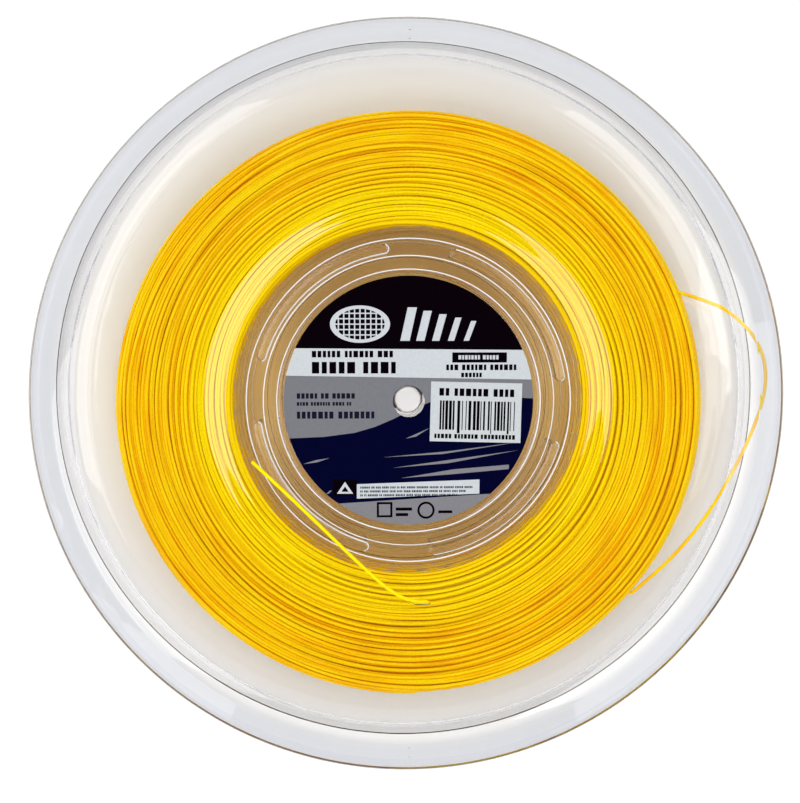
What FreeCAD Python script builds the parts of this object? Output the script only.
"""String reel for racket string: two clear snapped halves, labels, and one long string wound on the drum.

The reel lies on its rear rim. Z is the reel's axis, and the origin is on that axis at the resting plane.
"""

import FreeCAD, Part
import math
import os
from FreeCAD import Vector

os.makedirs("parts", exist_ok=True)

# Driving dimensions, in millimetres
REEL_RADIUS = 131.0
REEL_WIDTH = 36.0
MID = REEL_WIDTH / 2

BORE_RADIUS = 5.65
BORE_WALL = 2.0
PLATE = 1.7               # wall thickness of the flanges and the hub

LABEL_RADIUS = 44.3
LABEL_THICK = 0.12
STICKER_SIZE = (32.4, 21.3)
STICKER_CENTRE = (23.9, -4.0)
STICKER_TURN = -1.4       # degrees
STICKER_THICK = 0.08

POCKET_RADIUS = 46.3      # round recess that holds the label
POCKET_FLOOR = 8.7        # heights are measured from the mid-plane
HUB_FACE = 10.8
GROOVE_RADII = (51.5, 57.0)
GROOVE_FLOOR = 9.6
HUB_EDGE = 62.4           # where the shoulder starts to fall
SHOULDER_END = 74.0
FLANGE_FACE = 8.8
DRUM_RADIUS = 61.9
DRUM_WALL = 1.8
LAP_HEIGHT = 3.0          # overlap of the two drum walls
FIT = 0.05

TOE_END = 117.8           # the flange has started to rise here
DISH_END = 124.2
TOE_ARC = 5.0
DISH_SLOPES = (math.radians(24), math.radians(36))
KNEE_ARC = 1.0
RIM_SLOPE = math.radians(46.6)
RIM_EDGE_ARC = 0.3
LIP_ARC = 0.6
LIP_HEIGHT = 3.0
LIP_DRAFT = 0.3

TONGUE_COUNT = 4
TONGUE_START = 41.0       # degrees, middle of the first tongue
TONGUE_HALF_ANGLE = 31.8
TONGUE_RADIUS = 54.25
TONGUE_THICK = 2.2
SLOT_CLEARANCE = 0.15
HEAD_WIDTH = 3.7
HEAD_HEIGHT = 1.05

GATE_WIDTH = 0.8          # moulding gate marks on the rim wall
GATE_DEPTH = 0.45
GATE_DROPS = (4.4, 1.9)   # its low and high end, below the rim's face
GATE_LOW_RADIUS = DISH_END + 0.7

STRING_DIAMETER = 1.24
WINDING_RADIUS = 105.4
WINDING_CENTRE = (1.35, -3.2)
WINDING_CORNER = 4.0
WINDING_GAP = 0.1
ARC_SHARE = 0.45          # how much of a run each of its two bends takes up

TAIL_HOLE_CENTRE = (4.7, -72.5)
TAIL_HOLE_SIZE = (6.6, 2.2)

# The string's inner end: out of the flange's hole and over the hub
TAIL_ROUTE = [
    (6.7, -72.6, 25.8),
    (3.2, -72.3, 28.0),
    (-3.8, -69.5, 30.5),
    (-12.0, -62.6, 32.1),
    (-23.6, -51.3, 32.7),
    (-39.2, -35.6, 32.7),
    (-55.1, -20.6, 32.3),
]

# The string's outer end: off the winding, round between the flanges and back under the turns
LOOP_ROUTE = [
    (82.3, -72.2, 21.4),
    (92.9, -61.7, 21.8),
    (105.4, -47.4, 22.3),
    (116.6, -29.4, 22.8),
    (125.0, -11.6, 23.0),
    (130.2, 5.0, 23.0),
    (127.6, 20.0, 22.9),
    (116.6, 31.4, 22.5),
    (105.6, 36.0, 22.0),
    (98.9, 39.2, 21.6),
]


def revolved(edges, z_base):
    """One solid of revolution from a closed outline in the r-z plane."""
    face = Part.Face(Part.Wire(Part.__sortEdges__(edges)))
    solid = face.revolve(Vector(0, 0, 0), Vector(0, 0, 1), 360)
    solid.translate(Vector(0, 0, z_base))
    return solid


def point(r, z):
    return Vector(r, 0, z)


class Outline:
    """A closed r-z outline that is drawn with straight and round stretches."""

    def __init__(self, r, z):
        self.first = self.last = point(r, z)
        self.edges = []

    def line(self, r, z):
        end = point(r, z)
        self.edges.append(Part.LineSegment(self.last, end).toShape())
        self.last = end

    def arc(self, middle, end):
        self.edges.append(Part.Arc(self.last, point(*middle), point(*end)).toShape())
        self.last = point(*end)

    def turn(self, centre, radius, slope_from, slope_to, side):
        """An arc that starts and ends at the given slopes; side is -1 where the centre is above."""
        def at(slope):
            along, up = radius * math.sin(slope), radius * math.cos(slope)
            return (centre[0] - side * along, centre[1] + side * up)
        self.arc(at((slope_from + slope_to) / 2), at(slope_to))

    def close(self):
        self.edges.append(Part.LineSegment(self.last, self.first).toShape())
        return self.edges


def shoulder_points(drop):
    """The S-shaped shoulder as two arcs: (start, middle, join, middle, end), lowered by drop."""
    half = (SHOULDER_END - HUB_EDGE) / 2
    fall = (HUB_FACE - FLANGE_FACE) / 2
    radius = (half * half + fall * fall) / (2 * fall)
    quarter = math.asin(half / radius) / 2
    along, down = radius * math.sin(quarter), radius * (1 - math.cos(quarter))
    return (
        (HUB_EDGE, HUB_FACE - drop),
        (HUB_EDGE + along, HUB_FACE - down - drop),
        (HUB_EDGE + half, HUB_FACE - fall - drop),
        (SHOULDER_END - along, FLANGE_FACE + down - drop),
        (SHOULDER_END, FLANGE_FACE - drop),
    )


def half_outline(drum_end):
    """Section of one half, from the bore outwards, with heights from the mid-plane."""
    fillet, edge = 0.8, 0.4
    o = Outline(BORE_RADIUS, POCKET_FLOOR)
    # label pocket
    o.line(POCKET_RADIUS - fillet, POCKET_FLOOR)
    o.turn((POCKET_RADIUS - fillet, POCKET_FLOOR + fillet), fillet, 0, math.pi / 2, -1)
    o.line(POCKET_RADIUS, HUB_FACE - edge)
    o.turn((POCKET_RADIUS + edge, HUB_FACE - edge), edge, math.pi / 2, 0, 1)
    # groove for the tongue heads
    inner, outer = GROOVE_RADII
    o.line(inner - edge, HUB_FACE)
    o.turn((inner - edge, HUB_FACE - edge), edge, 0, -math.pi / 2, 1)
    o.line(inner, GROOVE_FLOOR)
    o.line(outer, GROOVE_FLOOR)
    o.line(outer, HUB_FACE - edge)
    o.turn((outer + edge, HUB_FACE - edge), edge, math.pi / 2, 0, 1)
    # shoulder and flat flange
    start, mid_a, join, mid_b, end = shoulder_points(0)
    o.line(*start)
    o.arc(mid_a, join)
    o.arc(mid_b, end)
    # dished edge, knee and sloping rim wall
    low_slope, high_slope = DISH_SLOPES
    toe_start = TOE_END - TOE_ARC * math.sin(low_slope)
    toe_centre = (toe_start, FLANGE_FACE + TOE_ARC)
    dish_arc = (DISH_END - TOE_END) / (math.sin(high_slope) - math.sin(low_slope))
    dish_centre = (
        TOE_END - dish_arc * math.sin(low_slope),
        toe_centre[1] + (dish_arc - TOE_ARC) * math.cos(low_slope),
    )
    knee_centre = (
        dish_centre[0] + (dish_arc - KNEE_ARC) * math.sin(high_slope),
        dish_centre[1] - (dish_arc - KNEE_ARC) * math.cos(high_slope),
    )
    knee_end = (
        knee_centre[0] + KNEE_ARC * math.sin(RIM_SLOPE),
        knee_centre[1] - KNEE_ARC * math.cos(RIM_SLOPE),
    )
    wall_top_z = MID - RIM_EDGE_ARC * (1 - math.cos(RIM_SLOPE))
    wall_top_r = knee_end[0] + (wall_top_z - knee_end[1]) / math.tan(RIM_SLOPE)
    o.line(toe_start, FLANGE_FACE)
    o.turn(toe_centre, TOE_ARC, 0, low_slope, -1)
    o.turn(dish_centre, dish_arc, low_slope, high_slope, -1)
    o.turn(knee_centre, KNEE_ARC, high_slope, RIM_SLOPE, -1)
    o.line(wall_top_r, wall_top_z)
    edge_centre = (wall_top_r + RIM_EDGE_ARC * math.sin(RIM_SLOPE), MID - RIM_EDGE_ARC)
    o.turn(edge_centre, RIM_EDGE_ARC, RIM_SLOPE, 0, 1)
    # lip
    o.line(REEL_RADIUS - LIP_ARC, MID)
    o.turn((REEL_RADIUS - LIP_ARC, MID - LIP_ARC), LIP_ARC, 0, -math.pi / 2, 1)
    lip_bottom = MID - LIP_HEIGHT
    o.line(REEL_RADIUS - LIP_DRAFT, lip_bottom)
    # back down the outside of the wall and in along the flange's inner face
    outside = (knee_end[0] + PLATE * math.sin(RIM_SLOPE), knee_end[1] - PLATE * math.cos(RIM_SLOPE))
    o.line(outside[0] + (lip_bottom - outside[1]) / math.tan(RIM_SLOPE), lip_bottom)
    o.line(*outside)
    o.turn(knee_centre, KNEE_ARC + PLATE, RIM_SLOPE, high_slope, -1)
    o.turn(dish_centre, dish_arc + PLATE, high_slope, low_slope, -1)
    o.turn(toe_centre, TOE_ARC + PLATE, low_slope, 0, -1)
    start, mid_a, join, mid_b, end = shoulder_points(PLATE)
    o.line(*end)
    o.arc(mid_b, join)
    o.arc(mid_a, start)
    # drum wall, with its half of the lap joint
    o.line(DRUM_RADIUS, HUB_FACE - PLATE)
    for r, z in drum_end:
        o.line(r, z)
    # underside of the hub
    under_hub, under_groove = HUB_FACE - PLATE, GROOVE_FLOOR - PLATE
    o.line(DRUM_RADIUS - DRUM_WALL, under_hub)
    o.line(outer + PLATE, under_hub)
    o.line(outer + PLATE, under_groove)
    o.line(inner - PLATE, under_groove)
    o.line(inner - PLATE, under_hub)
    o.line(POCKET_RADIUS + PLATE, under_hub)
    o.line(POCKET_RADIUS + PLATE, POCKET_FLOOR - PLATE)
    # bore tube
    o.line(BORE_RADIUS + BORE_WALL, POCKET_FLOOR - PLATE)
    o.line(BORE_RADIUS + BORE_WALL, FIT)
    o.line(BORE_RADIUS, FIT)
    return o.close()


def ring_sector(middle_radius, width, z_low, z_high, half_angle):
    """An arc-shaped wall with round ends, centred on the X axis."""
    inner, outer = middle_radius - width / 2, middle_radius + width / 2
    tall = z_high - z_low
    corners = [point(inner, z_low), point(outer, z_low), point(outer, z_high), point(inner, z_high)]
    face = Part.Face(Part.makePolygon(corners + corners[:1]))
    face.rotate(Vector(0, 0, 0), Vector(0, 0, 1), -half_angle)
    wall = face.revolve(Vector(0, 0, 0), Vector(0, 0, 1), 2 * half_angle)
    for angle in (-half_angle, half_angle):
        end = Part.makeCylinder(width / 2, tall, Vector(middle_radius, 0, z_low))
        end.rotate(Vector(0, 0, 0), Vector(0, 0, 1), angle)
        wall = wall.fuse(end)
    return wall.removeSplitter()


def bead(middle_radius, z_low, half_angle):
    """The round head of a tongue: a low bead with domed ends, centred on the X axis."""
    half = HEAD_WIDTH / 2
    radius = (half * half + HEAD_HEIGHT * HEAD_HEIGHT) / (2 * HEAD_HEIGHT)
    centre_z = z_low + HEAD_HEIGHT - radius
    low_in = point(middle_radius - half, z_low)
    low_out = point(middle_radius + half, z_low)
    top = point(middle_radius, z_low + HEAD_HEIGHT)
    base = Part.LineSegment(low_in, low_out).toShape()
    dome_edge = Part.Arc(low_out, top, low_in).toShape()
    face = Part.Face(Part.Wire([base, dome_edge]))
    face.rotate(Vector(0, 0, 0), Vector(0, 0, 1), -half_angle)
    solid = face.revolve(Vector(0, 0, 0), Vector(0, 0, 1), 2 * half_angle)
    corner = Vector(middle_radius - 2 * half, -2 * half, z_low)
    block = Part.makeBox(4 * half, 4 * half, HEAD_HEIGHT, corner)
    dome = Part.makeSphere(radius, Vector(middle_radius, 0, centre_z)).common(block)
    for angle in (-half_angle, half_angle):
        end = dome.copy()
        end.rotate(Vector(0, 0, 0), Vector(0, 0, 1), angle)
        solid = solid.fuse(end)
    return solid.removeSplitter()


def four_times(shape):
    """The shape at each of the tongue positions."""
    copies = []
    for i in range(TONGUE_COUNT):
        one = shape.copy()
        one.rotate(Vector(0, 0, 0), Vector(0, 0, 1), TONGUE_START + i * 360 / TONGUE_COUNT)
        copies.append(one)
    return copies


def gate_marks():
    """Two small raised gate marks up the inside of the rim wall, at +Y and -Y."""
    low_z, high_z = MID - GATE_DROPS[0], MID - GATE_DROPS[1]
    low_r = GATE_LOW_RADIUS
    high_r = low_r + (high_z - low_z) / math.tan(RIM_SLOPE)
    corners = [
        Vector(low_r - GATE_DEPTH, 0, low_z),
        Vector(low_r + PLATE / 2, 0, low_z),
        Vector(high_r + PLATE / 2, 0, high_z),
        Vector(high_r - GATE_DEPTH, 0, high_z),
    ]
    marks = []
    for angle in (90, 270):
        mark = Part.Face(Part.makePolygon(corners + corners[:1])).extrude(Vector(0, GATE_WIDTH, 0))
        mark.translate(Vector(0, -GATE_WIDTH / 2, MID))
        mark.rotate(Vector(0, 0, 0), Vector(0, 0, 1), angle)
        marks.append(mark)
    return marks


def tail_hole():
    """An oblong hole through the front flange for the string's inner end."""
    length, width = TAIL_HOLE_SIZE
    straight = length - width
    x, y = TAIL_HOLE_CENTRE
    z = MID + FLANGE_FACE - 2 * PLATE
    tall = 4 * PLATE
    hole = Part.makeBox(straight, width, tall, Vector(x - straight / 2, y - width / 2, z))
    for side in (-1, 1):
        hole = hole.fuse(Part.makeCylinder(width / 2, tall, Vector(x + side * straight / 2, y, z)))
    return hole.removeSplitter()


def make_front_half():
    inner, lap = DRUM_RADIUS - DRUM_WALL, DRUM_RADIUS - DRUM_WALL / 2 + FIT
    step = LAP_HEIGHT + FIT
    shape = revolved(half_outline([(DRUM_RADIUS, 0), (lap, 0), (lap, step), (inner, step)]), MID)
    slot = ring_sector(
        TONGUE_RADIUS,
        TONGUE_THICK + 2 * SLOT_CLEARANCE,
        MID + GROOVE_FLOOR - 2 * PLATE,
        MID + GROOVE_FLOOR + PLATE,
        TONGUE_HALF_ANGLE,
    )
    shape = shape.fuse(gate_marks())
    return shape.cut(four_times(slot) + [tail_hole()]).removeSplitter()


def make_rear_half():
    inner, lap = DRUM_RADIUS - DRUM_WALL, DRUM_RADIUS - DRUM_WALL / 2
    drum_end = [(DRUM_RADIUS, 0), (lap, 0), (lap, -LAP_HEIGHT), (inner, -LAP_HEIGHT)]
    shape = revolved(half_outline(drum_end), 0)
    shape = shape.mirror(Vector(0, 0, 0), Vector(0, 0, 1))
    shape.translate(Vector(0, 0, MID))
    head_z = MID + GROOVE_FLOOR + FIT
    foot_z = MID - GROOVE_FLOOR + PLATE / 2
    body = ring_sector(TONGUE_RADIUS, TONGUE_THICK, foot_z, head_z + HEAD_HEIGHT / 3, TONGUE_HALF_ANGLE)
    tongue = body.fuse(bead(TONGUE_RADIUS, head_z, TONGUE_HALF_ANGLE))
    return shape.fuse(four_times(tongue)).removeSplitter()


def make_label(z_low):
    disc = Part.makeCylinder(LABEL_RADIUS, LABEL_THICK, Vector(0, 0, z_low))
    return disc.cut(Part.makeCylinder(BORE_RADIUS, LABEL_THICK, Vector(0, 0, z_low)))


def make_sticker():
    wide, tall = STICKER_SIZE
    z = MID + POCKET_FLOOR + LABEL_THICK
    sheet = Part.makeBox(wide, tall, STICKER_THICK, Vector(-wide / 2, -tall / 2, z))
    sheet.rotate(Vector(0, 0, 0), Vector(0, 0, 1), STICKER_TURN)
    sheet.translate(Vector(STICKER_CENTRE[0], STICKER_CENTRE[1], 0))
    return sheet


def make_winding():
    """The wound string as one ring: it fills the gap between the flanges, and its outer edge is round."""
    drop = PLATE + WINDING_GAP
    start, mid_a, join, mid_b, end = shoulder_points(drop)
    reach = WINDING_RADIUS + 2 * WINDING_CORNER
    inner = DRUM_RADIUS + WINDING_GAP
    o = Outline(inner, start[1])
    o.line(*start)
    o.arc(mid_a, join)
    o.arc(mid_b, end)
    o.line(reach, end[1])
    o.line(reach, -end[1])
    o.line(end[0], -end[1])
    o.arc((mid_b[0], -mid_b[1]), (join[0], -join[1]))
    o.arc((mid_a[0], -mid_a[1]), (start[0], -start[1]))
    o.line(inner, -start[1])
    gap = revolved(o.close(), MID)
    half = FLANGE_FACE - drop
    corner = WINDING_CORNER
    diagonal = corner * math.sqrt(0.5)
    edge = WINDING_RADIUS
    e = Outline(0, MID)
    e.line(SHOULDER_END, MID)
    e.line(SHOULDER_END, half)
    e.line(edge - corner, half)
    e.arc((edge - corner + diagonal, half - corner + diagonal), (edge, half - corner))
    e.line(edge, corner - half)
    e.arc((edge - corner + diagonal, corner - half - diagonal), (edge - corner, -half))
    e.line(SHOULDER_END, -half)
    e.line(SHOULDER_END, -MID)
    e.line(0, -MID)
    outer = revolved(e.close(), MID)
    outer.translate(Vector(WINDING_CENTRE[0], WINDING_CENTRE[1], 0))
    return gap.common(outer).removeSplitter()


def make_tube(name, route, diameter):
    """A round tube along straight runs joined by tangent arcs, as large as the runs allow."""
    points = [Vector(*p) for p in route]
    edges = []
    radii = []
    start = points[0]
    for before, corner, after in zip(points, points[1:], points[2:]):
        to_start, to_end = before - corner, after - corner
        turn = math.pi - to_start.getAngle(to_end)
        reach = ARC_SHARE * min(to_start.Length, to_end.Length)
        radius = reach / math.tan(turn / 2)
        radii.append(radius)
        to_start.normalize()
        to_end.normalize()
        a, b = corner + to_start * reach, corner + to_end * reach
        inward = (to_start + to_end).normalize()
        middle = corner + inward * (math.hypot(radius, reach) - radius)
        edges.append(Part.LineSegment(start, a).toShape())
        edges.append(Part.Arc(a, middle, b).toShape())
        start = b
    edges.append(Part.LineSegment(start, points[-1]).toShape())
    path = Part.Wire(edges)
    section = Part.Wire(Part.Circle(points[0], points[1] - points[0], diameter / 2).toShape())
    tube = path.makePipeShell([section], True, True)
    ideal = math.pi * diameter * diameter / 4 * path.Length
    print(f"{name}: length {path.Length:.1f}, volume / ideal {tube.Volume / ideal:.4f}")
    print(f"{name}: radii", " ".join(f"{r:.1f}" for r in radii))
    return tube


def main():
    shapes = {
        "front_half": make_front_half(),
        "rear_half": make_rear_half(),
        "front_label": make_label(MID + POCKET_FLOOR),
        "rear_label": make_label(MID - POCKET_FLOOR - LABEL_THICK),
        "barcode_sticker": make_sticker(),
        "string_winding": make_winding(),
        "string_tail": make_tube("string_tail", TAIL_ROUTE, STRING_DIAMETER),
        "string_loop": make_tube("string_loop", LOOP_ROUTE, STRING_DIAMETER),
    }
    for name, shape in shapes.items():
        solids = shape.Solids
        print(f"{name}: {len(solids)} solid, valid {shape.isValid()}, volume {shape.Volume:.0f} mm3")
        solids[0].exportStep(f"parts/{name}.step")


main()
